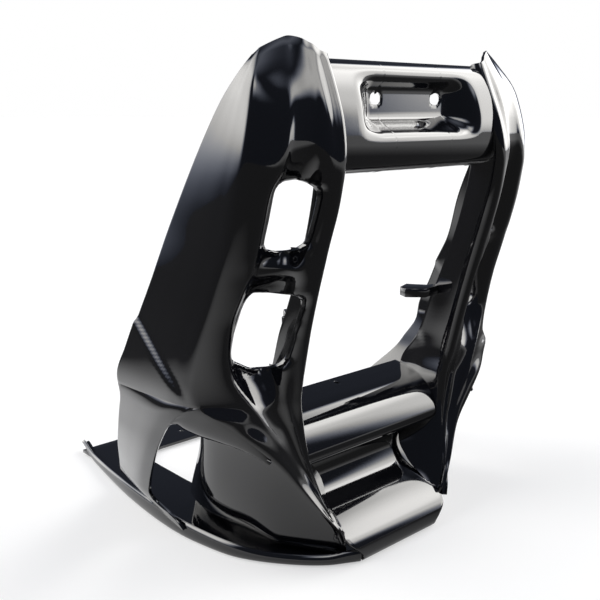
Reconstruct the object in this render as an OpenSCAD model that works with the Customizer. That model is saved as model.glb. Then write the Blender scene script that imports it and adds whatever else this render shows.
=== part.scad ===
/* [Overall size] */
// Overall height, mm
cover_h = 511; // [410:1:610]
// Overall width across the flared sides, mm
cover_w = 461; // [370:1:550]
// Overall depth from chin to rear tips, mm
cover_d = 479; // [390:1:570]

/* [Shell] */
// Wall thickness of the moulding, mm
wall = 3.6; // [3:0.1:4.5]
// Depth of the channel beside each front ridge, mm
channel_depth = 22; // [14:1:25]
// Depth of the collar round each air slot, mm
collar_depth = 8; // [6:1:12]
// Swell of the cheek above its foot, mm
cheek_bulge = 14; // [4:1:18]
// Outward step below the side crease, mm
crease_step = 3; // [1:0.5:5]

/* [Bridge] */
// Depth of the bolt recess behind the bulge, mm
recess_depth = 22; // [14:1:24]
// Half width of the recess floor, mm
recess_half = 54; // [50:1:58]
// Distance between the two bridge bolts, mm
bolt_gap = 85; // [76:1:88]
// Radius of the bridge bolt holes, mm
bolt_r = 5.5; // [4:0.5:6]
// Sideways play of a bridge bolt in its hole, mm
bolt_play = 4.5; // [2:0.5:6]

/* [Lower fixings] */
// Radius of the hole in the bar flange, mm
flange_hole_r = 3.25; // [2.5:0.25:4.5]
// Radius of the hole in the rear strip, mm
strip_hole_r = 4.25; // [3:0.25:6]
// Height of the locating lug inside each upright, mm
lug_h = 10; // [8:1:14]
// Reach of the locating lug, mm
lug_reach = 44; // [34:1:50]

/* [Belly] */
// Height of the belly lip beside the leg, mm
lip_h = 20; // [14:1:25]
// Front edge of the opening in the pan, mm
pan_y = 241; // [230:1:255]
// Front edge of the rear strip, mm
strip_y = 373; // [360:1:382]
// Half width of the opening in the pan, mm
bay_half = 88; // [80:1:96]

/* [Hidden] */
$fn = 48;

// Size and middle depth as drawn; the finished shell is brought to the wanted size
base_w = 512.7;
base_d = 532.4;
base_h = 568;
base_y = 231.05;
k = cover_h / base_h;

// Feature lines of one side, each row is height, sideways, backward
ridge = [[30, 84, 1], [52, 93, 9], [87, 104.5, 19], [128, 114.5, 28], [176, 122.5, 30.5],
    [201, 128, 26.5], [243, 130, 17.7], [302, 131.5, 2.5], [368, 131.5, -17],
    [403, 130, -27.5], [430, 129, -33], [457, 127, -35.6], [490, 124, -29],
    [520, 122, -17], [553, 121, -2]];
crest = [[30, 86, -0.5], [71, 105, 12], [115, 129, 24], [160, 158, 27], [200, 186, 32],
    [245, 212, 41], [292, 216, 35], [326, 211, 22], [363, 205, 7], [395, 204, -2.5],
    [427, 201, -10], [450, 192, -18], [483, 184, -17], [509, 176, -11], [553, 157, 17]];
crown = [[30, 87, -2], [47, 93, 1], [71, 113, 10], [110, 141, 22.5], [145, 171, 25],
    [168, 194, 29], [186, 212, 38], [199, 227, 46], [209, 237, 60], [240, 239, 61],
    [289, 235, 47], [325, 231, 34], [375, 227, 17], [421, 225, 6], [464, 220, -1],
    [504, 209.5, 2], [527, 201, 8], [553, 183, 22]];
rear_edge = [[12, 160, 345], [24, 171, 334], [74, 201, 282], [113, 221, 248], [148, 237, 216],
    [170, 243, 202], [195, 249, 187], [223, 253, 184], [255, 251, 167], [287, 248, 151],
    [328, 245, 128], [390, 234, 104], [460, 224, 69], [509, 213, 45], [538, 203, 28], [553, 191, 25]];
inner_rear = [[30, 82, -1], [48, 78, 20], [65, 73, 43], [75, 71, 50], [87, 70, 58.5],
    [100, 76, 66], [113, 90, 69], [127, 101, 74], [150, 111, 88], [176, 119, 106],
    [210, 122, 86], [223, 123, 77], [268, 124, 62], [295, 124, 50], [368, 124, 23],
    [436, 124, 8], [500, 122, 7], [553, 118, 10]];
leg_front = [[12, 184, 170], [24, 188, 180], [34, 193, 211], [48, 200, 216], [64, 205, 208],
    [100, 217, 180], [138, 230, 146], [171, 239, 114], [185, 242, 97], [196, 243, 85], [203, 241, 73],
    [209, 237, 60]];

// Plan of the belly lip from chin corner to rear tip: run, sideways, backward, height
lip = [[0, 66, -6, 17], [20, 83, 3, 16], [36, 99, 12, 14], [66, 123, 34, 14], [108, 150, 68, 15],
    [146, 168, 101, 18], [187, 178, 141, 20], [230, 184, 184, 22], [288, 184, 241, 23],
    [360, 178, 313, 21], [434, 167, 386, 16], [500, 155, 450, 13], [548, 145, 497, 17]];

// Cheek under the flared edge: run, top line, then foot line
cheek_top = [[0, 88, -1, 40], [1, 113, 10, 71], [2, 141, 22.5, 110], [3, 171, 26, 147],
    [4, 193, 44, 161], [5, 214, 66, 169], [6, 216, 84, 166], [7, 203, 104, 159]];
cheek_foot = [[0, 72, 10, 1.7], [1, 92, 44, 1.7], [2, 112, 84, 1.7], [3, 121, 124, 1.7],
    [4, 127, 158, 1.7], [5, 126, 190, 1.7], [6, 119, 222, 1.7], [7, 110, 252, 1.7]];

// Band under the flared edge: run, point on the edge, point on the lower line
flare = [[0, 171, 25, 145, 171, 27, 142], [1, 184, 27, 157, 184, 38, 152], [2, 199, 31, 173, 198, 50, 159],
    [3, 212, 38, 186, 212, 64, 165], [4, 227, 46, 199, 226, 76, 172], [5, 237, 60, 209, 236, 86, 179],
    [6, 242, 72, 207, 241, 95, 184], [7, 244.9, 87, 200.4, 242.9, 106, 179.5]];

// Bar, pocket, tray and chin in the middle plane: height then backward, top first
middle = [[0, 175, 114], [22, 172, 92], [46, 167, 68], [66, 156, 50], [85, 140, 38],
    [98, 127, 33.5], [107, 118.5, 36], [124, 113, 52], [138, 106, 64], [148, 96, 65],
    [159, 87, 58.5], [172, 75, 50], [184, 65, 43], [213, 48, 20], [238, 33, 0],
    [247, 26, -6.5], [257, 17, -9.5], [267, 8, -9], [276, 1, -4]];
bridge_front = [[437, 0, 6], [442, 0, -14], [449, 0, -21], [468, 0, -25], [492, 0, -24],
    [512, 0, -19], [530, 0, -11], [543, 0, -2], [549, 0, 8]];

// Row of a table that starts the span holding s
function span(t, s, i = 0) =
    (i >= len(t) - 2 || s < t[i + 1][0]) ? i : span(t, s, i + 1);

// Slope of column k of a table at row i
function slope(t, i, k) =
    let(a = max(i - 1, 0), b = min(i + 1, len(t) - 1))
    (t[b][k] - t[a][k]) / (t[b][0] - t[a][0]);

// Smooth value of column k of a table at s
function along(t, s, k) =
    let(i = span(t, s), h = t[i + 1][0] - t[i][0], u = (s - t[i][0]) / h,
        m0 = slope(t, i, k) * h, m1 = slope(t, i + 1, k) * h)
    t[i][k] * (2 * u * u * u - 3 * u * u + 1) + m0 * (u * u * u - 2 * u * u + u)
    + t[i + 1][k] * (3 * u * u - 2 * u * u * u) + m1 * (u * u * u - u * u);

// All values of a table row at s, without the run
function at(t, s) = [for (k = [1 : len(t[0]) - 1]) along(t, s, k)];

// Smooth step from 0 at a to 1 at b
function ease(v, a, b) = let(u = min(1, max(0, (v - a) / (b - a)))) u * u * (3 - 2 * u);

function mix(a, b, u) = a * (1 - u) + b * u;

// Bump of height 1 round c with reach r
function bell(v, c, r) = ease(v, c - r, c) * (1 - ease(v, c, c + r));

// Table of run length and point through corner points
function run_table(p, i = 0, s = 0) =
    i == len(p) ? [] : concat([concat([s], p[i])],
        run_table(p, i + 1, i + 1 < len(p) ? s + max(0.5, norm(p[i + 1] - p[i])) : s));

// Smooth curve through corner points with the given steps in each span
function curve(p, steps) =
    let(t = run_table(p))
    concat([for (i = [0 : len(steps) - 1]) for (k = [0 : steps[i] - 1])
        at(t, mix(t[i][0], t[i + 1][0], k / steps[i]))], [p[len(p) - 1]]);

// Unit normal of a grid of points at row i and column j, kept level if asked
function grid_normal(g, i, j, level) =
    let(a = level ? [0, 0, 1] : g[min(i + 1, len(g) - 1)][j] - g[max(i - 1, 0)][j],
        b = g[i][min(j + 1, len(g[i]) - 1)] - g[i][max(j - 1, 0)],
        c = cross(a, b))
    c / max(norm(c), 0.001);

// Two triangles of a quad
function quad(a, b, c, d) = [[a, c, b], [a, d, c]];

// Closed skin of thickness t behind a grid of points
module skin(g, t, level = false) {
    r = len(g);
    c = len(g[0]);
    n = r * c;
    front = [for (i = [0 : r - 1]) for (j = [0 : c - 1]) g[i][j]];
    back = [for (i = [0 : r - 1]) for (j = [0 : c - 1]) g[i][j] + grid_normal(g, i, j, level) * t];
    faces = [
        for (i = [0 : r - 2]) for (j = [0 : c - 2]) let(k = i * c + j)
            each quad(k, k + 1, k + c + 1, k + c),
        for (i = [0 : r - 2]) for (j = [0 : c - 2]) let(k = n + i * c + j)
            each quad(k, k + c, k + c + 1, k + 1),
        for (j = [0 : c - 2]) each quad(j + 1, j, n + j, n + j + 1),
        for (j = [0 : c - 2]) let(k = n - c + j) each quad(k, k + 1, n + k + 1, n + k),
        for (i = [0 : r - 2]) let(k = i * c) each quad(k, k + c, n + k + c, n + k),
        for (i = [0 : r - 2]) let(k = i * c + c - 1) each quad(k + c, k, n + k, n + k + c)];
    polyhedron(concat(front, back), faces, convexity = 12);
}

// Height of the side crease at distance y from the front
function crease_z(y) = 216 + (y - 74) * 0.93;

// How strongly the channel is sunk at height z
function sunk(z) =
    (0.3 * ease(z, 60, 130) + 0.7 * ease(z, 196, 246)) * (1 - 0.4 * bell(z, 347, 15))
    * (1 - ease(z, 436, 464)) + 0.3 * ease(z, 436, 464) * (1 - ease(z, 464, 525));

// Corner points of one level section: sideways, backward, lift of the top edge
function front_points(z) =
    let(n = at(ridge, z), b = at(crest, z), i = at(inner_rear, z),
        run = min(1, norm(b - n) / 46), c = sunk(z) * run, d = channel_depth / k)
    [concat(i, -4), concat(n + [-6, 9] * mix(0.4, 1, run), -2), concat(n, 0),
        concat(n + [10, 2.5] * run, 3),
        concat(mix(n, b, mix(0.34, 0.25, c)) + [0, mix(-2, 2, c)], 7),
        concat(mix(n, b, mix(0.5, 0.31, c)) + [0, mix(-2, 0.83 * d, c)], 10),
        concat(mix(n, b, mix(0.65, 0.42, c)) + [0, mix(-2, d, c)], 13),
        concat(mix(n, b, mix(0.86, 0.8, c)) + [0, mix(-1, 0.58 * d, c)], 15),
        concat(b, 15), concat(at(crown, z), 4)];

// Corner points of the side panel from its front line f to the rear edge
function flank_points(f, z) =
    let(e = at(rear_edge, z))
    [concat(f, 4), concat(mix(f, e, 0.25) + [3, 0], 0), concat(mix(f, e, 0.62) + [2, 0], -2),
        concat(e, -3)];

// Lift of the top rows, slant of the lowest rows and outward step under the crease
function placed(p, z) =
    let(w = pow(max(0, z - 450) / 103, 2),
        s = crease_step / k * (1 - ease(z - crease_z(p[1]), -7, 5)) * ease(p[1], 62, 96))
    [p[0] + s, p[1], z + w * p[2] + 0.03 * (p[0] + p[1] - 300) * (1 - ease(z, 12, 70))];

// Steps between the corner points of the front and of the side panel
front_steps = [1, 1, 2, 1, 1, 1, 1, 1, 3];
flank_steps = [1, 1, 1];

// Level section from the inner wall over ridge and crest to the rear edge
function section(z) =
    let(f = front_points(z), b = flank_points([f[9][0], f[9][1]], z))
    [for (p = curve(concat(f, [b[1], b[2], b[3]]), concat(front_steps, flank_steps))) placed(p, z)];

// Upright above the flare
module upright() {
    rows = [209, 228, 246, 268, 294, 318, 334, 347, 360, 380, 404, 426, 444, 462, 484, 508, 531, 553];
    skin([for (z = rows) section(z)], wall / k, true);
}

// Lower end of the upright running down to the chin
module upright_foot() {
    skin([for (z = [45, 56, 71, 88, 110, 132, 154, 176, 195, 209]) let(r = section(z))
        [for (j = [0 : 12]) r[j]]], wall / k, true);
}

// Leg from the crease down to the lip
module leg() {
    skin([for (z = [12, 24, 38, 60, 88, 120, 150, 176, 192, 201, 209])
        [for (p = curve(flank_points(at(leg_front, z), z), flank_steps)) placed(p, z)]], wall / k, true);
}

// Narrow band turned under the flared edge
module flare_band() {
    skin([for (u = [0 : 0.5 : 7]) let(r = at(flare, u))
        [for (v = [0, 0.5, 1])
            mix([r[0] - 1.3, r[1] + 1.3, r[2] + 0.7], [r[3], r[4], r[5]], v)
                + [3, 0, -3] * 4 * v * (1 - v)]], wall / k);
}

// Leaf shaped cheek under the flare, turned inward at its rear and foot
module cheek() {
    skin([for (u = [0, 0.8, 1.6, 2.4, 3.2, 4, 4.6, 5, 5.4, 6, 7])
        let(a = at(cheek_top, u) + [-0.6, 1.2, 1.6], b = at(cheek_foot, u), g = min(1, u / 2))
        [for (v = [0, 0.25, 0.5, 0.72, 0.88, 1])
            mix(a, b, v) + [1, -0.4, 0] * cheek_bulge / k * g * ease(v, 0, 0.85) * (1 - ease(v, 0.8, 1))]],
        wall / k);
}

// Outward direction of the lip in plan
function lip_out(s) = let(a = at(lip, s - 1), b = at(lip, s + 1), d = [b[1] - a[1], a[0] - b[0], 0])
    d / norm(d);

// Point on the lip outline moved outward by o at height z
function lip_point(s, o, z) = let(p = at(lip, s)) [p[0], p[1], z] + lip_out(s) * o;

// Upstanding lip round the belly
module belly_lip() {
    runs = [0, 14, 32, 60, 95, 130, 165, 200, 245, 300, 365, 430, 490, 548];
    skin([for (s = runs) let(h = at(lip, s)[2] * lip_h / k / 22, f = 0.6 + 9 * ease(s, 490, 548))
        [lip_point(s, -2.5, h), lip_point(s, 0, h - 2.5), lip_point(s, 1.2, mix(f, h, 0.5)),
            lip_point(s, 0, f + 3.5), lip_point(s, -3, f), lip_point(s, -10, f)]], wall / k);
}

// Flat pan under the scoops and rear strip, with the opening between them
module belly_floor() {
    y0 = pan_y / k;
    y1 = strip_y / k;
    x1 = bay_half / k;
    edge = [for (s = [5, 16, 34, 60, 95, 130, 165, 200, 245, 300, 365, 430, 485])
        let(p = lip_point(s, -4.3, 0)) [p[0], p[1]]];
    linear_extrude(wall / k) difference() {
        polygon(concat([[-1, -2]], edge, [[146, 482], [-1, 482]]));
        offset(r = 26) polygon([[-30, y0 + 26], [x1 - 26, y0 + 26], [x1 - 26, y1 - 26], [-30, y1 - 26]]);
    }
}

// Outline of the upper air slot seen from the front
module upper_slot(grow) {
    offset(r = 13 + grow, $fn = 28) polygon([[158, 423], [170, 422], [173, 381], [161, 378]]);
}

// Outline of the lower air slot seen from the front
module lower_slot(grow) {
    offset(r = 11 + grow, $fn = 28) polygon([[151, 309], [182, 312], [192, 262], [166, 248], [156, 252]]);
}

// Outline extruded from front to back
module through(y0, y1) {
    translate([0, y1, 0]) rotate([90, 0, 0]) linear_extrude(y1 - y0) children();
}

// Collars turned inward round the slots
module slot_collars() {
    intersection() {
        skin([for (z = [230, 268, 315, 347, 380, 404, 446]) let(f = front_points(z))
            [for (p = curve([f[4], f[5], f[6], f[7], f[8]], [1, 1, 1, 1])) [p[0], p[1] + 1.2, z]]],
            collar_depth / k);
        union() {
            through(-60, 80) upper_slot(wall / k);
            through(-60, 80) lower_slot(wall / k);
        }
    }
}

// Locating lug on the inner side of the upright
module lug() {
    tip = 128 - lug_reach / k;
    translate([0, 0, 286 - lug_h / k]) linear_extrude(lug_h / k)
        polygon([[126.4, 50], [tip + 17, 46], [tip, 64], [tip + 5, 77], [tip + 24, 84], [118, 62],
            [126.4, 60]]);
}

// One side of the cover
module side() {
    difference() {
        union() {
            upright();
            upright_foot();
            leg();
            flare_band();
            cheek();
            belly_lip();
            belly_floor();
            slot_collars();
            lug();
        }
        through(-60, 80) upper_slot(0);
        through(-60, 80) lower_slot(0);
    }
}

// How far the recess reaches at a point of the bridge
function recess(x, z) =
    (1 - ease(abs(x), recess_half / k, recess_half / k + 20)) * ease(z, 477, 498) * (1 - ease(z, 522, 534));

// Bridge with its bolt recess
module bridge() {
    xs = [-123.3, -100, -81, -75, -70, -65, -60, 0, 60, 65, 70, 75, 81, 100, 123.3];
    zs = [437, 441, 449, 461, 477, 483, 488, 493, 498, 521, 526, 530, 535, 543, 549];
    skin([for (z = zs) let(y = at(bridge_front, z)[1])
        [for (x = xs) [x, mix(y, -22 + recess_depth / k, recess(x, z)), z]]], wall / k);
}

// Half width of the middle skin at height z and distance y
function half_width(z, y) =
    z < 33 ? mix(62, 84, ease(z, 4, 34)) :
    let(i = at(inner_rear, z), n = at(ridge, z), q = n + [-4, 6])
    2.5 + (y > i[1] ? i[0] : mix(q[0], i[0], (y - q[1]) / max(1, i[1] - q[1])));

// Bar, closed pocket, tray and chin between the uprights
module middle_skin() {
    runs = [0, 22, 34, 46, 56, 66, 76, 85, 92, 98, 103, 107, 124, 138, 148, 159, 172, 184, 213, 238,
        247, 257, 267, 276];
    skin([for (s = runs) let(p = at(middle, s), w = half_width(p[0], p[1]))
        [for (u = [1, 0, -1]) [u * w, p[1], p[0]]]], wall / k);
}

// Whole shell as drawn
module shell() {
    side();
    mirror([1, 0, 0]) side();
    bridge();
    middle_skin();
}

// Bolt hole with sideways play, cut along y
module bolt_cut(x, y, z) {
    for (s = [-0.5, 0.5])
        translate([x + s * bolt_play, y, z]) rotate([90, 0, 0]) cylinder(r = bolt_r, h = 80, center = true);
    translate([x, y, z]) cube([bolt_play, 80, 2 * bolt_r], center = true);
}

// Radiator cover, standing on its belly with the origin under its middle
module radiator_cover() {
    sy = cover_d / base_d;
    color([0.04, 0.04, 0.05]) difference() {
        translate([0, -base_y * sy, 0]) resize([cover_w, cover_d, cover_h]) shell();
        for (s = [-0.5, 0.5]) bolt_cut(s * bolt_gap, -base_y * sy, 512 * k);
        translate([0, (102.5 - base_y) * sy, 173.4 * k]) rotate([atan(3 / 22), 0, 0])
            cylinder(r = flange_hole_r, h = 30, center = true);
        translate([0, (448 - base_y) * sy, 0]) cylinder(r = strip_hole_r, h = 20, center = true);
    }
}

radiator_cover();
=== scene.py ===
"""Studio picture of a gloss black radiator cover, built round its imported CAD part."""

import logging
import math
from dataclasses import dataclass, field
from enum import Enum
from typing import Callable, Iterable, Sequence

import bmesh
import bpy
import numpy as np
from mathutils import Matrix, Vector
from mathutils.bvhtree import BVHTree

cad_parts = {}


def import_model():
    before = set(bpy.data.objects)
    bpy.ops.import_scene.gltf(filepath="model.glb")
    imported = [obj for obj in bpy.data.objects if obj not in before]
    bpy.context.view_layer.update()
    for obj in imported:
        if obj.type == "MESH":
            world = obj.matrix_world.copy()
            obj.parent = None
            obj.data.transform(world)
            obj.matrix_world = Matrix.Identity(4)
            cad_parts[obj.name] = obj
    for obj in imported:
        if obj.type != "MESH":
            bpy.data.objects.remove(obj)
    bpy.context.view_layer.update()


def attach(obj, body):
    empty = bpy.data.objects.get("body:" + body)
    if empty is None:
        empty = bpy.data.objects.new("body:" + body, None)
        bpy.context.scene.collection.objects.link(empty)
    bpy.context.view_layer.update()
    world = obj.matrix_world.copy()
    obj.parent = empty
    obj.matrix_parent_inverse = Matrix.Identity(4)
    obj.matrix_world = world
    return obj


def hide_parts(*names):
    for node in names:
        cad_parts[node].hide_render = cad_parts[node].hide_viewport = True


LOG = logging.getLogger("cover")
NODE = "radiator_cover"
DRAWN_SIZE = np.array([512.7, 532.4, 568.0])
REAL_SIZE = np.array([461.0, 479.0, 511.0])
DRAWN_MID_Y = 231.05
Rows = tuple[tuple[float, ...], ...]


def real(points: np.ndarray | Sequence[float]) -> np.ndarray:
    """Bring points from drawn millimetres into the part's own frame.

    Args:
        points: Positions in drawn millimetres, with x, y and z last.

    Returns:
        The same points in metres.
    """
    out = np.array(points, float)
    out[..., 1] -= DRAWN_MID_Y
    return out * (REAL_SIZE / DRAWN_SIZE) * 0.001


def ease(value: np.ndarray | float, low: float, high: float) -> np.ndarray:
    """Smooth step from 0 at low to 1 at high.

    Args:
        value: Where to read the step.
        low: Value at which the step starts.
        high: Value at which the step is complete.

    Returns:
        The height of the step.
    """
    u = np.clip((np.asarray(value, float) - low) / (high - low), 0.0, 1.0)
    return u * u * (3 - 2 * u)


def bell(value: np.ndarray | float, centre: float, reach: float) -> np.ndarray:
    """Smooth bump of height 1 round a centre.

    Args:
        value: Where to read the bump.
        centre: Value at which the bump is highest.
        reach: Distance at which the bump has gone.

    Returns:
        The height of the bump.
    """
    return ease(value, centre - reach, centre) * (1 - ease(value, centre, centre + reach))


@dataclass(frozen=True)
class FeatureLine:
    """Smooth line through measured rows, each a run value and the numbers that belong to it."""

    rows: Rows
    softness: float = 6.0

    def _through(self, run: np.ndarray) -> np.ndarray:
        """Cubic through the rows, read at each run value.

        Args:
            run: Run values.

        Returns:
            One row of values for each.
        """
        table = np.array(self.rows, float)
        x, count = table[:, 0], len(table)
        before = np.maximum(np.arange(count) - 1, 0)
        after = np.minimum(np.arange(count) + 1, count - 1)
        slope = (table[after] - table[before]) / (x[after] - x[before])[:, None]
        i = np.clip(np.searchsorted(x, run, side="right") - 1, 0, count - 2)
        h = (x[i + 1] - x[i])[:, None]
        u = (run - x[i])[:, None] / h
        value = (
            table[i] * (2 * u**3 - 3 * u**2 + 1)
            + slope[i] * h * (u**3 - 2 * u**2 + u)
            + table[i + 1] * (3 * u**2 - 2 * u**3)
            + slope[i + 1] * h * (u**3 - u**2)
        )
        return value[:, 1:]

    def at(self, run: np.ndarray | Sequence[float] | float) -> np.ndarray:
        """Softened values of the line.

        Args:
            run: One run value or many.

        Returns:
            One row of numbers for each run value.
        """
        run = np.atleast_1d(np.asarray(run, float))
        first, last = self.rows[0][0], self.rows[-1][0]
        run = np.clip(run, first, last)
        reach = np.clip(np.minimum(run - first, last - run), 0, self.softness)
        total, weight = 0.0, 0.0
        for offset in np.linspace(-1, 1, 9):
            w = 0.5 + 0.5 * math.cos(math.pi * offset * 0.9)
            total = total + w * self._through(run + offset * reach)
            weight += w
        return total / weight


def curve(points: np.ndarray, steps: int) -> np.ndarray:
    """Smooth curve through points, spaced by their distances.

    Args:
        points: The points that the curve goes through.
        steps: Number of steps in each span.

    Returns:
        The points of the curve.
    """
    gaps = np.maximum(np.linalg.norm(np.diff(points, axis=0), axis=1), 0.5)
    run = np.concatenate([[0.0], np.cumsum(gaps)])
    line = FeatureLine(tuple(map(tuple, np.column_stack([run, points]))), 0.0)
    spans = zip(run[:-1], run[1:])
    fine = np.concatenate([np.linspace(a, b, steps, endpoint=False) for a, b in spans])
    return line.at(np.append(fine, run[-1]))


def even(points: np.ndarray, count: int, soft: float = 0.0) -> np.ndarray:
    """Spread points evenly along a line and round its corners.

    Args:
        points: The line.
        count: Number of points wanted.
        soft: Length over which corners are rounded.

    Returns:
        The evenly spread points, with both ends kept.
    """
    run = np.concatenate([[0.0], np.cumsum(np.linalg.norm(np.diff(points, axis=0), axis=1))])
    want = np.linspace(0, run[-1], count)
    reach = np.minimum(np.minimum(want, run[-1] - want), soft)
    total, weight = 0.0, 0.0
    for offset in np.linspace(-1, 1, 9):
        w = 0.5 + 0.5 * math.cos(math.pi * offset * 0.9)
        at = want + offset * reach
        total = total + w * np.column_stack([np.interp(at, run, column) for column in points.T])
        weight += w
    return total / weight


class Plane(Enum):
    """The two coordinates in which an outline is drawn, then the one it is cut along."""

    FRONT = (0, 2, 1)
    PLAN = (0, 1, 2)


@dataclass(frozen=True)
class Outline:
    """Closed outline of a hole, the hull of a few circles, with rolled edges and a collar behind."""

    circles: Rows
    roll: float
    depth: float
    plane: Plane = Plane.FRONT
    inward: float = 1.0

    def points(self) -> np.ndarray:
        """Points all the way round the outline, anticlockwise.

        Returns:
            Rows of two coordinates.
        """
        ring = np.concatenate([
            np.column_stack([x + r * np.cos(a), y + r * np.sin(a)])
            for x, y, r in self.circles
            for a in [np.linspace(0, 2 * math.pi, 97)[:-1]]
        ])
        order = ring[np.lexsort((ring[:, 1], ring[:, 0]))]
        lower: list[np.ndarray] = []
        upper: list[np.ndarray] = []
        for chain, run in ((lower, order), (upper, order[::-1])):
            for p in run:
                while len(chain) > 1:
                    a, b = chain[-1] - chain[-2], p - chain[-2]
                    if a[0] * b[1] - a[1] * b[0] > 1e-9:
                        break
                    chain.pop()
                chain.append(p)
        return np.array(lower[:-1] + upper[:-1])

    def nearest(self, at: np.ndarray) -> tuple[np.ndarray, np.ndarray]:
        """Distance to the outline and the closest point on it.

        Args:
            at: Points in the outline's plane.

        Returns:
            Distances, negative inside, and the closest points.
        """
        p = self.points()
        q = np.roll(p, -1, axis=0)
        d = q - p
        rel = at[:, None, :] - p[None]
        t = np.clip((rel * d[None]).sum(-1) / (d * d).sum(-1)[None], 0, 1)
        foot = p[None] + t[..., None] * d[None]
        gap = np.linalg.norm(at[:, None, :] - foot, axis=-1)
        best = gap.argmin(1)
        pick = np.arange(len(at))
        side = (d[None, :, 0] * rel[..., 1] - d[None, :, 1] * rel[..., 0]).min(1)
        return np.where(side > 0, -gap[pick, best], gap[pick, best]), foot[pick, best]


@dataclass
class Sheet:
    """Open surface in drawn millimetres that gets its wall behind it."""

    points: np.ndarray
    faces: list[tuple[int, ...]]
    wall: float = 4.0

    @classmethod
    def grid(cls, rows: np.ndarray, wall: float = 4.0) -> "Sheet":
        """Sheet over a grid of points.

        Args:
            rows: Array of rows by columns by three.
            wall: Wall thickness behind the sheet.

        Returns:
            The sheet, seen from its front.
        """
        r, c = rows.shape[:2]
        index = np.arange(r * c).reshape(r, c)
        quads = np.stack([index[:-1, :-1], index[:-1, 1:], index[1:, 1:], index[1:, :-1]], -1).reshape(-1, 4)
        return cls(rows.reshape(-1, 3).astype(float), [tuple(map(int, q)) for q in quads], wall)

    def joined(self, other: "Sheet") -> "Sheet":
        """This sheet and another, sewn together where their points meet.

        Args:
            other: The sheet to add.

        Returns:
            The joined sheet.
        """
        points = np.concatenate([self.points, other.points])
        faces = self.faces + [tuple(i + len(self.points) for i in f) for f in other.faces]
        _, first, inverse = np.unique(np.round(points, 3), axis=0, return_index=True, return_inverse=True)
        inverse = inverse.reshape(-1)
        kept = []
        for f in faces:
            g = tuple(dict.fromkeys(int(inverse[i]) for i in f))
            if len(g) > 2:
                kept.append(g)
        return Sheet(points[first], kept, self.wall)

    def mirrored(self) -> "Sheet":
        """The same sheet on the other side.

        Returns:
            The mirrored sheet.
        """
        return Sheet(self.points * [-1, 1, 1], [f[::-1] for f in self.faces], self.wall)

    def pierced(self, hole: Outline) -> "Sheet":
        """Cut a hole with rolled edges and a collar behind it.

        Args:
            hole: The hole's outline.

        Returns:
            The sheet with the hole in it.
        """
        u, v, w = hole.plane.value
        points = self.points.copy()
        gap, foot = hole.nearest(points[:, [u, v]])
        inside = gap < 0
        used = np.array([not all(inside[i] for i in f) for f in self.faces])
        faces = [f for f, keep in zip(self.faces, used) if keep]
        rim = np.zeros(len(points), bool)
        for f in faces:
            for i in f:
                rim[i] |= inside[i]
        surface = BVHTree.FromPolygons([tuple(q) for q in self.points], self.faces)
        points[rim, u], points[rim, v] = foot[rim, 0], foot[rim, 1]
        along = Vector((0, 0, 0))
        along[w] = hole.inward
        for i in np.flatnonzero(rim):
            start = Vector(points[i])
            start[w] -= 900 * hole.inward
            hit = surface.ray_cast(start, along)[0]
            if hit is not None:
                points[i, w] = hit[w]
        ring = np.flatnonzero(rim)
        if hole.depth > 0:
            apart = ((foot[ring][:, None] - foot[ring][None]) ** 2).sum(-1)
            share = np.exp(-apart / 32.0)
            points[ring, w] = (share * points[ring, w][None]).sum(1) / share.sum(1)
        gap = np.where(inside, 0.0, gap)
        near = np.clip(1 - gap / hole.roll, 0, 1)
        points[:, w] += hole.inward * hole.roll * (1 - np.sqrt(np.clip(1 - near**2, 0, 1)))
        count: dict[tuple[int, int], int] = {}
        for f in faces:
            for a, b in zip(f, f[1:] + f[:1]):
                key = (min(a, b), max(a, b))
                count[key] = count.get(key, 0) + 1
        collar = []
        fresh: dict[tuple[int, int], int] = {}
        extra: list[np.ndarray] = []
        levels = [t * hole.depth for t in (0.0, 0.35, 0.7, 1.0)]

        def level_point(i: int, level: int) -> int:
            """Index of the collar's point behind rim point i.

            Args:
                i: Rim point.
                level: How far behind, from 0 to 3.

            Returns:
                Its index.
            """
            if level == 0:
                return i
            if (i, level) not in fresh:
                p = points[i].copy()
                p[w] += hole.inward * levels[level]
                fresh[(i, level)] = len(points) + len(extra)
                extra.append(p)
            return fresh[(i, level)]

        for f in faces:
            for a, b in zip(f, f[1:] + f[:1]):
                if rim[a] and rim[b] and count[(min(a, b), max(a, b))] == 1 and hole.depth > 0:
                    for k in range(3):
                        near_side = (level_point(b, k), level_point(a, k))
                        far_side = (level_point(a, k + 1), level_point(b, k + 1))
                        collar.append(near_side + far_side)
        if extra:
            points = np.concatenate([points, np.array(extra)])
        return Sheet(points, faces + collar, self.wall)


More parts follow.
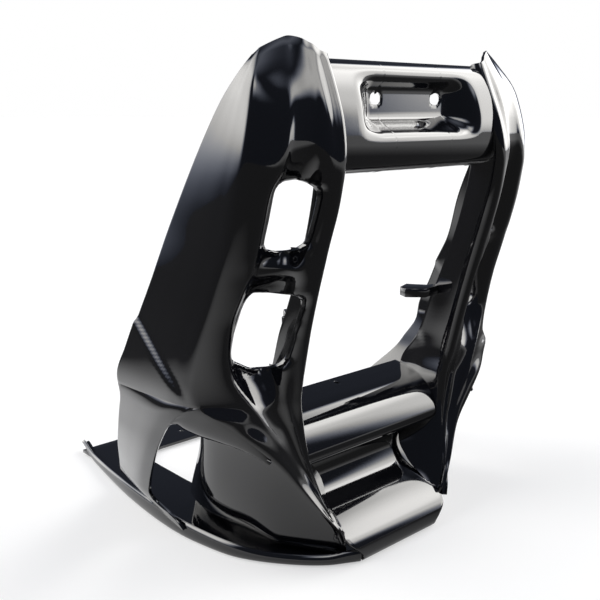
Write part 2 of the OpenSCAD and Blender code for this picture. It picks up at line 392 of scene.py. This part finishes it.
@dataclass
class Upright:
    """One upright with its channel, side panel, leg and two air slots, on the positive side."""

    wall: float = 4.0
    channel: float = 24.4
    step: float = 3.3
    front_columns: int = 50
    side_columns: int = 41
    split: float = 209.0
    ridge: FeatureLine = FeatureLine((
        (30, 84, 1), (52, 93, 9), (87, 104.5, 19), (128, 114.5, 28), (176, 122.5, 30.5), (201, 128, 26.5),
        (243, 130, 17.7), (302, 131.5, 2.5), (368, 131.5, -17), (403, 130, -27.5), (430, 129, -33),
        (457, 127, -35.6), (490, 124, -29), (520, 122, -17), (553, 121, -2)))
    crest: FeatureLine = FeatureLine((
        (30, 86, -0.5), (71, 105, 12), (115, 129, 24), (160, 158, 27), (200, 186, 32), (245, 212, 41),
        (292, 216, 35), (326, 211, 22), (363, 205, 7), (395, 204, -2.5), (427, 201, -10), (450, 192, -18),
        (483, 184, -17), (509, 176, -11), (553, 157, 17)))
    crown: FeatureLine = FeatureLine((
        (30, 87, -2), (47, 93, 1), (71, 113, 10), (110, 141, 22.5), (145, 171, 25), (168, 194, 29),
        (186, 212, 38), (199, 227, 46), (209, 237, 60), (240, 239, 61), (289, 235, 47), (325, 231, 34),
        (375, 227, 17), (421, 225, 6), (464, 220, -1), (504, 209.5, 2), (527, 201, 8), (553, 183, 22)), 4.0)
    rear: FeatureLine = FeatureLine((
        (12, 160, 345), (24, 171, 334), (74, 201, 282), (113, 221, 248), (148, 237, 216), (170, 243, 202),
        (195, 249, 187), (223, 253, 184), (255, 251, 167), (287, 248, 151), (328, 245, 128), (390, 234, 104),
        (460, 224, 69), (509, 213, 45), (538, 203, 28), (553, 191, 25)), 4.0)
    inner: FeatureLine = FeatureLine((
        (30, 82, -1), (48, 78, 20), (65, 73, 43), (75, 71, 50), (87, 70, 58.5), (100, 76, 66), (113, 90, 69),
        (127, 101, 74), (150, 111, 88), (176, 119, 106), (210, 122, 86), (223, 123, 77), (268, 124, 62),
        (295, 124, 50), (368, 124, 23), (436, 124, 8), (500, 122, 7), (553, 118, 10)), 4.0)
    leg: FeatureLine = FeatureLine((
        (12, 184, 170), (24, 188, 180), (34, 193, 211), (48, 200, 216), (64, 205, 208), (100, 217, 180),
        (138, 230, 146), (171, 239, 114), (185, 242, 97), (196, 243, 85), (203, 241, 73),
        (209, 237, 60)), 4.0)
    upper_slot: Outline = Outline(((158, 423, 13), (170, 422, 13), (173, 381, 13), (161, 378, 13)), 4.5, 7.0)
    lower_slot: Outline = Outline(
        ((151, 309, 11), (182, 312, 11), (188, 264, 14), (164, 256, 19)), 4.5, 7.0)

    def sunk(self, z: float) -> float:
        """How strongly the channel beside the ridge is sunk at a height.

        Args:
            z: Height.

        Returns:
            0 for flat, 1 for fully sunk.
        """
        return float(
            (0.3 * ease(z, 60, 130) + 0.7 * ease(z, 196, 246))
            * (1 - 0.4 * bell(z, 347, 17)) * (1 - ease(z, 430, 470))
            + 0.3 * ease(z, 430, 470) * (1 - ease(z, 464, 530)))

    def front(self, z: float) -> np.ndarray:
        """Corner points from the inner wall to the crown at a height, each with its lift at the top.

        Args:
            z: Height.

        Returns:
            Rows of x, y and lift.
        """
        n, b, i, c = (line.at(z)[0] for line in (self.ridge, self.crest, self.inner, self.crown))
        run = min(1.0, float(np.linalg.norm(b - n)) / 46)
        s, d = self.sunk(z) * run, self.channel
        mix: Callable[[float, float], float] = lambda p, q: p + (q - p) * s

        def between(share: float, back: float) -> np.ndarray:
            """Point between ridge and crest, set back.

            Args:
                share: How far towards the crest.
                back: How far it is set back.

            Returns:
                Its x and y.
            """
            return n + (b - n) * share + [0, back]

        edge = 0.4 + 0.6 * run
        rows = [
            (*i, -4), (*(n + np.array([-6, 9]) * edge), -2), (*n, 0), (*(n + np.array([10, 2.5]) * run), 3),
            (*between(mix(0.34, 0.25), mix(-2, 2)), 7), (*between(mix(0.5, 0.31), mix(-2, 0.83 * d)), 10),
            (*between(mix(0.65, 0.42), mix(-2, d)), 13), (*between(mix(0.86, 0.8), mix(-1, 0.58 * d)), 15),
            (*b, 15), (*c, 4)]
        return np.array(rows)

    def side(self, start: np.ndarray, z: float) -> np.ndarray:
        """Corner points of the side panel from a front line to the rear edge.

        Args:
            start: Where the panel starts.
            z: Height.

        Returns:
            Rows of x, y and lift.
        """
        e = self.rear.at(z)[0]
        return np.array([(*start, 4), (*(start * 0.75 + e * 0.25 + [3, 0]), 0),
                         (*(start * 0.38 + e * 0.62 + [2, 0]), -2), (*e, -3)])

    def placed(self, points: np.ndarray, z: float) -> np.ndarray:
        """Lift the top rows, slant the lowest and step the panel out under the crease.

        Args:
            points: Rows of x, y and lift.
            z: Height.

        Returns:
            Rows of x, y and z.
        """
        x, y, lift = points.T
        rise = (max(0.0, z - 450) / 103) ** 2
        crease = 216 + (y - 74) * 0.93
        out = self.step * (1 - ease(z - crease, -7, 6)) * ease(y, 62, 96)
        sag = 0.03 * (x + y - 300) * (1 - ease(z, 12, 70))
        return np.column_stack([x + out, y, z + rise * lift + sag])

    def level(self, z: float) -> tuple[np.ndarray, np.ndarray]:
        """Front and side lines of one level.

        Args:
            z: Height.

        Returns:
            The two lines, as rows of x, y and lift.
        """
        front = self.front(z)
        whole = curve(np.concatenate([front, self.side(front[-1, :2], z)[1:]]), 9)
        cut = 9 * (len(front) - 1)
        return even(whole[: cut + 1], self.front_columns, 4.0), even(whole[cut:], self.side_columns)

    def sheet(self) -> Sheet:
        """The whole upright as one surface.

        Returns:
            The sheet with both slots in it.
        """
        spans = ((self.split, 236, 8), (236, 446, 62), (446, 553, 16))
        high = np.unique(np.concatenate([np.linspace(*span) for span in spans]))
        front, side = [], []
        for z in high:
            a, b = self.level(z)
            front.append(self.placed(a, z))
            side.append(self.placed(b, z))
        out = Sheet.grid(np.array(front), self.wall).joined(Sheet.grid(np.array(side), self.wall))
        foot = [self.placed(self.level(z)[0], z) for z in np.linspace(36, self.split, 38)]
        out = out.joined(Sheet.grid(np.array(foot), self.wall))
        leg = []
        for z in np.linspace(12, self.split, 38):
            line = curve(self.side(self.leg.at(z)[0] if z < self.split else self.crown.at(z)[0], z), 9)
            leg.append(self.placed(even(line, self.side_columns), z))
        out = out.joined(Sheet.grid(np.array(leg), self.wall))
        return out.pierced(self.upper_slot).pierced(self.lower_slot)


@dataclass
class Scoop:
    """Flared band and leaf shaped cheek of the side scoop, on the positive side."""

    wall: float = 4.0
    bulge: float = 15.6
    top: FeatureLine = FeatureLine((
        (0, 88, -1, 40), (1, 113, 10, 71), (2, 141, 22.5, 110), (3, 171, 26, 147), (4, 193, 44, 161),
        (5, 214, 66, 169), (6, 216, 84, 166), (7, 203, 104, 159)), 0.3)
    foot: FeatureLine = FeatureLine((
        (0, 72, 10, 1.7), (1, 92, 44, 1.7), (2, 112, 84, 1.7), (3, 121, 124, 1.7), (4, 127, 158, 1.7),
        (5, 126, 190, 1.7), (6, 119, 222, 1.7), (7, 110, 252, 1.7)), 0.3)
    flare: FeatureLine = FeatureLine((
        (0, 171, 25, 145, 171, 27, 142), (1, 184, 27, 157, 184, 38, 152), (2, 199, 31, 173, 198, 50, 159),
        (3, 212, 38, 186, 212, 64, 165), (4, 227, 46, 199, 226, 76, 172), (5, 237, 60, 209, 236, 86, 179),
        (6, 242, 72, 207, 241, 95, 184), (7, 244.9, 87, 200.4, 242.9, 106, 179.5)), 0.3)

    def band(self) -> Sheet:
        """Narrow band turned under the flared edge.

        Returns:
            The sheet.
        """
        r = self.flare.at(np.linspace(0, 7, 48))
        v = np.linspace(0, 1, 8)[None, :, None]
        a, b = r[:, None, :3] + [-0.8, 0.8, 0.6], r[:, None, 3:]
        return Sheet.grid(a * (1 - v) + b * v + np.array([3, 0, -3]) * 4 * v * (1 - v), self.wall)

    def cheek(self) -> Sheet:
        """Leaf shaped inner wall of the scoop.

        Returns:
            The sheet.
        """
        u = np.linspace(0, 7, 52)
        a, b = self.top.at(u)[:, None] + [-0.6, 1.2, 1.6], self.foot.at(u)[:, None]
        v = np.linspace(0, 1, 26)[None, :, None]
        grow = np.minimum(1, u / 2)[:, None, None]
        swell = np.array([1, -0.4, 0]) * self.bulge * grow * ease(v, 0, 0.85) * (1 - ease(v, 0.8, 1))
        return Sheet.grid(a * (1 - v) + b * v + swell, self.wall)


@dataclass
class Belly:
    """Flat pan with its upstanding lip, on the positive side."""

    wall: float = 4.0
    opening: tuple[float, float, float] = (267.9, 414.6, 97.8)
    lip: FeatureLine = FeatureLine((
        (0, 66, -6, 17), (20, 83, 3, 16), (36, 99, 12, 14), (66, 123, 34, 14), (108, 150, 68, 15),
        (146, 168, 101, 18), (187, 178, 141, 20), (230, 184, 184, 22), (288, 184, 241, 23),
        (360, 178, 313, 21),
        (434, 167, 386, 16), (500, 155, 450, 13), (548, 145, 497, 17)), 10.0)

    def outward(self, run: np.ndarray) -> np.ndarray:
        """Outward direction of the lip in plan.

        Args:
            run: Distances along the lip.

        Returns:
            Unit vectors, one a row.
        """
        a, b = self.lip.at(np.maximum(run - 1, 0)), self.lip.at(np.minimum(run + 1, 548))
        d = np.column_stack([b[:, 1] - a[:, 1], a[:, 0] - b[:, 0], np.zeros(len(run))])
        return d / np.linalg.norm(d, axis=1)[:, None]

    def rim(self) -> Sheet:
        """Upstanding lip, rounded over at its top and its foot.

        Returns:
            The sheet.
        """
        run = np.linspace(0, 548, 92)
        p, out = self.lip.at(run), self.outward(run)
        rows = []
        for (x, y, h), o, s in zip(p, out, run):
            h, f = h * 1.01, 0.6 + 9 * float(ease(s, 490, 548))
            profile = [(-2.5, h), (0, h - 2.5), (1.2, (f + h) / 2), (0, f + 3.5), (-3, f), (-10, f)]
            points = np.array([[x + o[0] * q, y + o[1] * q, z] for q, z in profile])
            rows.append(even(curve(points, 6), 16, 1.2))
        return Sheet.grid(np.array(rows), self.wall)

    def pan(self) -> Sheet:
        """Flat plate between the lips with its opening and the hole in its rear strip.

        Returns:
            The sheet, both halves joined.
        """
        y0, y1, x1 = self.opening
        edge_run = np.linspace(3, 490, 90)
        edge = self.lip.at(edge_run) - self.outward(edge_run) * 4.3
        ends = [y0, y0 + 0.05, y1 - 0.05, y1]
        ys = np.unique(np.concatenate([np.linspace(-3, 482, 42), np.linspace(441, 455, 12), ends]))
        outer = np.interp(ys, edge[:, 1], edge[:, 0])

        def inner(y: float) -> float:
            """Half width of the opening at a distance from the front.

            Args:
                y: Distance.

            Returns:
                The half width.
            """
            if y <= y0 or y >= y1:
                return 0.0
            front = x1 - 18 + math.sqrt(max(0, 18**2 - max(0, y0 + 18 - y) ** 2))
            back = x1 - 40 + math.sqrt(max(0, 40**2 - max(0, y - y1 + 40) ** 2))
            return min(front, back)

        share = np.linspace(1, 0, 22) ** 1.7
        top = np.array([
            [[inner(y) + (b - inner(y)) * t, y, self.wall] for t in share] for y, b in zip(ys, outer)])
        half = Sheet.grid(top, self.wall)
        return half.joined(half.mirrored()).pierced(Outline(((0, 448, 4.7),), 0.6, 0.0, Plane.PLAN, -1.0))


@dataclass
class Bridge:
    """Cross piece between the uprights with its bolt recess."""

    wall: float = 4.0
    depth: float = 24.5
    half: float = 60.0
    front: FeatureLine = FeatureLine((
        (437, 6), (442, -14), (449, -21), (468, -25), (492, -24), (512, -19), (530, -11), (543, -2),
        (549, 8)), 3.0)
    bolts: tuple[float, float, float, float] = (47.3, 2.5, 6.1, 512.0)

    def recess(self, x: np.ndarray, z: np.ndarray) -> np.ndarray:
        """How far the recess reaches at points of the bridge.

        Args:
            x: Sideways places.
            z: Heights.

        Returns:
            0 outside it, 1 on its floor.
        """
        sides = 1 - ease(np.abs(x), self.half - 2, self.half + 36)
        return sides * ease(z, 470, 496) * (1 - ease(z, 519, 540))

    def sheet(self) -> Sheet:
        """The bridge with its two oblong holes.

        Returns:
            The sheet.
        """
        spans = ((-123, 123, 67), (36, 60, 12), (-60, -36, 12))
        xs = np.unique(np.concatenate([np.linspace(*span) for span in spans]))
        zs = np.linspace(437, 549, 48)
        z, x = np.meshgrid(zs, xs, indexing="ij")
        y = self.front.at(zs)[:, :1] + 0 * x
        y = y + (self.depth - 22 - y) * self.recess(x, z)
        out = Sheet.grid(np.stack([x, y, z], -1), self.wall)
        c, play, r, zc = self.bolts
        for side in (-1, 1):
            out = out.pierced(Outline(((side * c - play, zc, r), (side * c + play, zc, r)), 0.9, 0.0))
        return out


@dataclass
class Middle:
    """Bar with its flange, closed pocket, tray and chin between the uprights."""

    wall: float = 4.0
    profile: FeatureLine = FeatureLine((
        (0, 175, 114), (22, 172, 92), (46, 167, 68), (66, 156, 50), (85, 140, 38), (98, 127, 33.5),
        (107, 118.5, 36),
        (124, 113, 52), (138, 106, 64), (148, 96, 66.5), (159, 86, 65), (172, 75, 61), (184, 65, 53),
        (213, 48, 22),
        (238, 33, 0), (247, 26, -6.5), (257, 17, -9.5), (267, 8, -9), (276, 1, -4)), 4.0)
    upright: Upright = field(default_factory=Upright)

    def half_width(self, z: float, y: float) -> float:
        """Half width of the middle skin at a height and distance.

        Args:
            z: Height.
            y: Distance.

        Returns:
            The half width.
        """
        if z < 33:
            return 62 + 22 * float(ease(z, 4, 34))
        i, n = self.upright.inner.at(z)[0], self.upright.ridge.at(z)[0]
        q = n + [-4, 6]
        if y > i[1]:
            return float(i[0]) + 2.5
        return 2.5 + float(q[0] + (i[0] - q[0]) * (y - q[1]) / max(1.0, i[1] - q[1]))

    def sheet(self) -> Sheet:
        """The swept middle skin.

        Returns:
            The sheet with the hole in its flange.
        """
        rows = []
        spans = ((1, 0.06, 18), (0.04, -0.04, 9), (-0.06, -1, 18))
        across = np.concatenate([np.linspace(*span) for span in spans])
        for z, y in self.profile.at(np.linspace(0, 276, 97)):
            w = self.half_width(float(z), float(y))
            rows.append([[u * w, y, z] for u in across])
        hole = Outline(((0, 102.5, 3.6),), 0.6, 0.0, Plane.PLAN, -1.0)
        return Sheet.grid(np.array(rows), self.wall).pierced(hole)


@dataclass(frozen=True)
class Wire:
    """Output of a shader node that can be used in plain arithmetic."""

    tree: bpy.types.NodeTree
    socket: bpy.types.NodeSocket

    def maths(self, kind: str, first: "Wire | float", second: "Wire | float") -> "Wire":
        """Add one Math node between two values.

        Args:
            kind: Operation of the node.
            first: First value.
            second: Second value.

        Returns:
            Its result.
        """
        node = self.tree.nodes.new("ShaderNodeMath")
        node.operation = kind
        for slot, value in zip(node.inputs, (first, second)):
            if isinstance(value, Wire):
                self.tree.links.new(value.socket, slot)
            else:
                slot.default_value = float(value)
        return Wire(self.tree, node.outputs[0])

    def __add__(self, other: "Wire | float") -> "Wire":
        """Sum.

        Args:
            other: The other value.

        Returns:
            The result.
        """
        return self.maths("ADD", self, other)

    def __radd__(self, other: float) -> "Wire":
        """Sum with the value on the right.

        Args:
            other: The other value.

        Returns:
            The result.
        """
        return self.maths("ADD", other, self)

    def __sub__(self, other: "Wire | float") -> "Wire":
        """Difference.

        Args:
            other: The other value.

        Returns:
            The result.
        """
        return self.maths("SUBTRACT", self, other)

    def __rsub__(self, other: float) -> "Wire":
        """Difference with the value on the right.

        Args:
            other: The other value.

        Returns:
            The result.
        """
        return self.maths("SUBTRACT", other, self)

    def __mul__(self, other: "Wire | float") -> "Wire":
        """Product.

        Args:
            other: The other value.

        Returns:
            The result.
        """
        return self.maths("MULTIPLY", self, other)

    def __rmul__(self, other: float) -> "Wire":
        """Product with the value on the right.

        Args:
            other: The other value.

        Returns:
            The result.
        """
        return self.maths("MULTIPLY", other, self)

    def __truediv__(self, other: "Wire | float") -> "Wire":
        """Quotient.

        Args:
            other: The other value.

        Returns:
            The result.
        """
        return self.maths("DIVIDE", self, other)

    def __pow__(self, other: "Wire | float") -> "Wire":
        """Power.

        Args:
            other: The other value.

        Returns:
            The result.
        """
        return self.maths("POWER", self, other)

    def lowest(self, other: "Wire | float") -> "Wire":
        """The smaller of two values.

        Args:
            other: The other value.

        Returns:
            The result.
        """
        return self.maths("MINIMUM", self, other)

    def highest(self, other: "Wire | float") -> "Wire":
        """The larger of two values.

        Args:
            other: The other value.

        Returns:
            The result.
        """
        return self.maths("MAXIMUM", self, other)


class Graph:
    """Node tree of a material, light panel or world."""

    def __init__(self, tree: bpy.types.NodeTree) -> None:
        """Start with an empty tree.

        Args:
            tree: Node tree to build in.
        """
        self.tree = tree
        tree.nodes.clear()

    def add(self, kind: str, inputs: dict | None = None, output: str | int = 0, **settings: object) -> Wire:
        """Add any node.

        Args:
            kind: The node's type.
            inputs: Socket name or number to a wire or a constant.
            output: The output to hand back.
            **settings: Properties of the node.

        Returns:
            The chosen output.
        """
        node = self.tree.nodes.new(kind)
        for name, value in settings.items():
            setattr(node, name, value)
        for name, value in (inputs or {}).items():
            if isinstance(value, Wire):
                self.tree.links.new(value.socket, node.inputs[name])
            else:
                node.inputs[name].default_value = value
        return Wire(self.tree, node.outputs[output]) if len(node.outputs) else Wire(self.tree, None)


@dataclass(frozen=True)
class GlossFinish:
    """Deep gloss black with the faint waviness of a sprayed and polished coat."""

    name: str = "gloss_black"
    colour: tuple[float, float, float] = (0.004, 0.0042, 0.0058)
    roughness: float = 0.07
    waviness: float = 0.05

    def material(self) -> bpy.types.Material:
        """The finish as a material.

        Returns:
            The material.
        """
        made = bpy.data.materials.new(self.name)
        made.use_nodes = True
        graph = Graph(made.node_tree)
        place = graph.add("ShaderNodeTexCoord", output="Object")
        broad = graph.add("ShaderNodeTexNoise", {"Vector": place, "Scale": 14.0, "Detail": 2.0})
        fine = graph.add("ShaderNodeTexNoise", {"Vector": place, "Scale": 420.0, "Detail": 2.0})
        rough = self.roughness + 0.025 * (broad - 0.5) + 0.015 * (fine - 0.5)
        bump = graph.add("ShaderNodeBump", {
            "Strength": self.waviness, "Distance": 0.0004, "Height": 0.6 * fine + 0.4 * broad})
        shader = graph.add("ShaderNodeBsdfPrincipled", {
            "Base Color": (*self.colour, 1.0), "Roughness": rough, "IOR": 1.6, "Normal": bump,
            "Coat Weight": 1.0, "Coat Roughness": 0.02, "Coat IOR": 1.6})
        graph.add("ShaderNodeOutputMaterial", {"Surface": shader})
        return made


@dataclass(frozen=True)
class FloorWithPaintedLight:
    """White floor with a painted glow, so that its shadow is faint.

    Where it is only seen mirrored its grey is painted reflection light that goes by its place: bright close by
    on the left and far off at the rear and on the right, dark elsewhere.
    """

    name: str = "white_floor_painted_light"
    seen: float = 0.97
    # near and the left, right and rear light levels set the painted reflection light: floor grey that only
    # shows mirrored in the cover.
    near: float = 0.06
    painted_left_light_level: float = 0.94
    painted_right_light_level: float = 0.35
    painted_rear_light_level: float = 0.8
    # Painted glow: share and strength of the emission mixed into the floor to make its shadow faint.
    painted_glow_share: float = 0.45
    glow: float = 1.05

    def material(self) -> bpy.types.Material:
        """The floor with its painted glow and painted reflection light, as a material.

        Returns:
            The material.
        """
        made = bpy.data.materials.new(self.name)
        made.use_nodes = True
        graph = Graph(made.node_tree)
        camera = graph.add("ShaderNodeLightPath", output="Is Camera Ray")
        place = graph.add("ShaderNodeTexCoord", output="Object")
        x, y = (graph.add("ShaderNodeSeparateXYZ", {"Vector": place}, k) for k in "XY")
        # Painted reflection light: masks that brighten the floor close by on the left, at the rear and far off
        # on the right, for reflected rays only.
        nearby_painted_light_mask = ((1.05 - (x * x + y * y) ** 0.5) / 0.6).lowest(1.0).highest(0.0)
        left = ((0.8 * y - 0.6 * x + 0.35) / 0.8).lowest(1.0).highest(0.0) * nearby_painted_light_mask
        right = ((0.9 * x - 0.35 * y - 1.0) / 1.5).lowest(1.0).highest(0.0)
        rear = ((x + 0.577 * y) / 0.4).lowest(1.0).highest(0.0) * ((y - 0.8) / 0.6).lowest(1.0).highest(0.0)
        painted_reflection_grey = (self.near + self.painted_left_light_level * left + self.painted_right_light_level * right + self.painted_rear_light_level * rear).lowest(1.0)
        painted_reflection_colour = graph.add("ShaderNodeCombineXYZ", {"X": painted_reflection_grey, "Y": painted_reflection_grey, "Z": painted_reflection_grey})
        plain_white = (self.seen,) * 3 + (1.0,)
        # Camera rays see plain white; all other rays see the painted reflection grey.
        white_and_painted_reflection_tone = graph.add("ShaderNodeMix", {0: camera, 6: painted_reflection_colour, 7: plain_white}, 2, data_type="RGBA")
        matt = graph.add("ShaderNodeBsdfDiffuse", {"Color": white_and_painted_reflection_tone, "Roughness": 0.0})
        # Painted glow: the floor emits light of its own tone, which fades its shadow.
        glow = graph.add("ShaderNodeEmission", {"Color": white_and_painted_reflection_tone, "Strength": self.glow})
        shader = graph.add("ShaderNodeMixShader", {0: self.painted_glow_share, 1: matt, 2: glow})
        graph.add("ShaderNodeOutputMaterial", {"Surface": shader})
        return made


@dataclass
class Cover:
    """The whole moulding, put together from its surfaces."""

    upright: Upright = field(default_factory=Upright)
    scoop: Scoop = field(default_factory=Scoop)
    belly: Belly = field(default_factory=Belly)
    bridge: Bridge = field(default_factory=Bridge)
    middle: Middle = field(default_factory=Middle)
    finish: GlossFinish = GlossFinish()
    lug_outline: Rows = ((126.4, 50), (96.1, 46), (79.1, 64), (84.1, 77), (103.1, 84), (118, 62), (126.4, 60))

    def lug(self) -> Sheet:
        """Top face of the locating lug inside an upright.

        Returns:
            The sheet, as thick as the lug.
        """
        points = np.array([[x, y, 286.0] for x, y in self.lug_outline])
        return Sheet(points, [tuple(range(len(points)))[::-1]], 11.1)

    def sheets(self) -> Iterable[Sheet]:
        """Every surface of the cover.

        Returns:
            The sheets, one after the other.
        """
        scoop = self.scoop
        for sheet in (self.upright.sheet(), scoop.band(), scoop.cheek(), self.belly.rim(), self.lug()):
            yield sheet
            yield sheet.mirrored()
        yield self.belly.pan()
        yield self.bridge.sheet()
        yield self.middle.sheet()

    def walled(self, sheet: Sheet, number: int) -> bpy.types.Object:
        """Give a sheet its wall and rounded rims.

        Args:
            sheet: The surface.
            number: A number for its name.

        Returns:
            A new object with a finished mesh.
        """
        mesh = bpy.data.meshes.new(f"surface_{number}")
        mesh.from_pydata([tuple(p) for p in real(sheet.points)], [], sheet.faces)
        mesh.update()
        made = bpy.data.objects.new(mesh.name, mesh)
        bpy.context.scene.collection.objects.link(made)
        wall = made.modifiers.new("wall", "SOLIDIFY")
        wall.thickness, wall.offset = sheet.wall * 0.0009, -1.0
        edge = made.modifiers.new("edge", "BEVEL")
        edge.width, edge.segments, edge.limit_method, edge.angle_limit = 0.0009, 2, "ANGLE", math.radians(55)
        edge.use_clamp_overlap = True
        done = bpy.data.meshes.new_from_object(made.evaluated_get(bpy.context.evaluated_depsgraph_get()))
        made.modifiers.clear()
        made.data = done
        return made

    def build(self) -> bpy.types.Object:
        """Make the cover as one piece.

        Returns:
            The finished object.
        """
        parts = [self.walled(s, i) for i, s in enumerate(self.sheets())]
        joined = bmesh.new()
        for part in parts:
            joined.from_mesh(part.data)
            bpy.data.objects.remove(part)
        mesh = bpy.data.meshes.new("cover")
        joined.to_mesh(mesh)
        joined.free()
        mesh.materials.clear()
        mesh.materials.append(self.finish.material())
        mesh.polygons.foreach_set("use_smooth", np.ones(len(mesh.polygons), bool))
        mesh.polygons.foreach_set("material_index", np.zeros(len(mesh.polygons), np.int32))
        mesh.set_sharp_from_angle(angle=math.radians(50))
        cover = bpy.data.objects.new("cover", mesh)
        bpy.context.scene.collection.objects.link(cover)
        LOG.info("cover has %d faces", len(mesh.polygons))
        return cover


@dataclass(frozen=True)
class Softbox:
    """Soft bordered patch of bright surroundings, placed by bearing and height in degrees.

    The bearing is 0 towards the front of the cover and grows towards its positive side.
    """

    bearing: tuple[float, float]
    height: tuple[float, float]
    strength: float
    border: tuple[float, float] = (10.0, 10.0)


@dataclass
class Studio:
    """Floor, surroundings with softboxes, and camera."""

    eye: tuple[float, float, float] = (-690.3, -592.5, 501.4)
    look: tuple[float, float, float] = (0.6540, 0.7228, -0.2234)
    base: float = 0.06
    warm_from: float = 2.4
    cool: tuple[float, float, float, float] = (0.66, 0.75, 1.0, 1.0)
    warm: tuple[float, float, float, float] = (1.0, 0.985, 0.96, 1.0)
    softboxes: tuple[Softbox, ...] = (
        Softbox((42, 112), (-8, 60), 3.8, (10, 16)),
        Softbox((48, 84), (28, 60), 2.0, (14, 14)),
        Softbox((10, 54), (25, 60), 2.8, (18, 15)),
        Softbox((-172, -86), (-2, 80), 4.4, (30, 28)),
        Softbox((-196, -150), (-36, 26), 2.4, (20, 14)),
        Softbox((-54, 0), (36, 72), 3.2, (24, 18)),
        Softbox((-180, 180), (58, 90), 0.7, (1, 20)),
    )

    def build(self) -> None:
        """Make the whole studio."""
        self.floor()
        self.world()
        self.camera()

    def floor(self) -> bpy.types.Object:
        """Wide white floor with a painted glow and painted reflection light.

        Returns:
            The floor.
        """
        mesh = bpy.data.meshes.new("floor")
        mesh.from_pydata([(-40, -40, 0), (40, -40, 0), (40, 40, 0), (-40, 40, 0)], [], [(0, 1, 2, 3)])
        made = bpy.data.objects.new("floor", mesh)
        bpy.context.scene.collection.objects.link(made)
        mesh.materials.append(FloorWithPaintedLight().material())
        return made

    def window(self, value: Wire, span: tuple[float, float], border: float) -> Wire:
        """1 within a span in degrees, fading to 0 over its border.

        Args:
            value: Angle in radians.
            span: Lowest and highest angle in degrees.
            border: Width of the fade in degrees.

        Returns:
            The share.
        """
        low, high = (math.radians(v) for v in span)
        side = ((value - low).lowest(high - value) / math.radians(border)).lowest(1.0).highest(0.0)
        return side * side * (3.0 - 2.0 * side)

    def world(self) -> None:
        """Dark surroundings with softboxes, white where the camera sees them."""
        made = bpy.data.worlds.new("surroundings")
        made.use_nodes = True
        bpy.context.scene.world = made
        graph = Graph(made.node_tree)
        way = graph.add("ShaderNodeTexCoord", output="Generated")
        x, y, z = (graph.add("ShaderNodeSeparateXYZ", {"Vector": way}, k) for k in "XYZ")
        bearing = x.maths("ARCTAN2", x, 0.0 - y)
        height = z.maths("ARCSINE", z, 0.0)
        light: Wire | float = self.base
        for box in self.softboxes:
            light = light + box.strength * self.window(bearing, box.bearing, box.border[0]) * self.window(
                height, box.height, box.border[1])
        seen = graph.add("ShaderNodeLightPath", output="Is Camera Ray")
        level = seen + (1.0 - seen) * light
        tint = graph.add("ShaderNodeMix", {
            0: (level / self.warm_from).lowest(1.0), 6: self.cool, 7: self.warm}, 2, data_type="RGBA")
        hue = graph.add("ShaderNodeMix", {0: seen, 6: tint, 7: (1.0, 1.0, 1.0, 1.0)}, 2, data_type="RGBA")
        glow = graph.add("ShaderNodeBackground", {"Color": hue, "Strength": level})
        graph.add("ShaderNodeOutputWorld", {"Surface": glow})

    def camera(self) -> bpy.types.Object:
        """Camera at the photograph's place.

        Returns:
            The camera.
        """
        lens = bpy.data.cameras.new("camera")
        lens.lens, lens.sensor_width, lens.sensor_fit = 50.0, 36.0, "HORIZONTAL"
        made = bpy.data.objects.new("camera", lens)
        bpy.context.scene.collection.objects.link(made)
        made.location = real(self.eye)
        made.rotation_mode = "QUATERNION"
        made.rotation_quaternion = Vector(self.look).to_track_quat("-Z", "Y")
        bpy.context.scene.camera = made
        return made


def main() -> None:
    """Build the scene."""
    logging.basicConfig(level=logging.INFO)
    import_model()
    bpy.context.scene.view_settings.view_transform = "Standard"
    cover = Cover().build()
    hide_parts(NODE)
    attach(cover, "root")
    Studio().build()


if __name__ == "__main__":
    main()
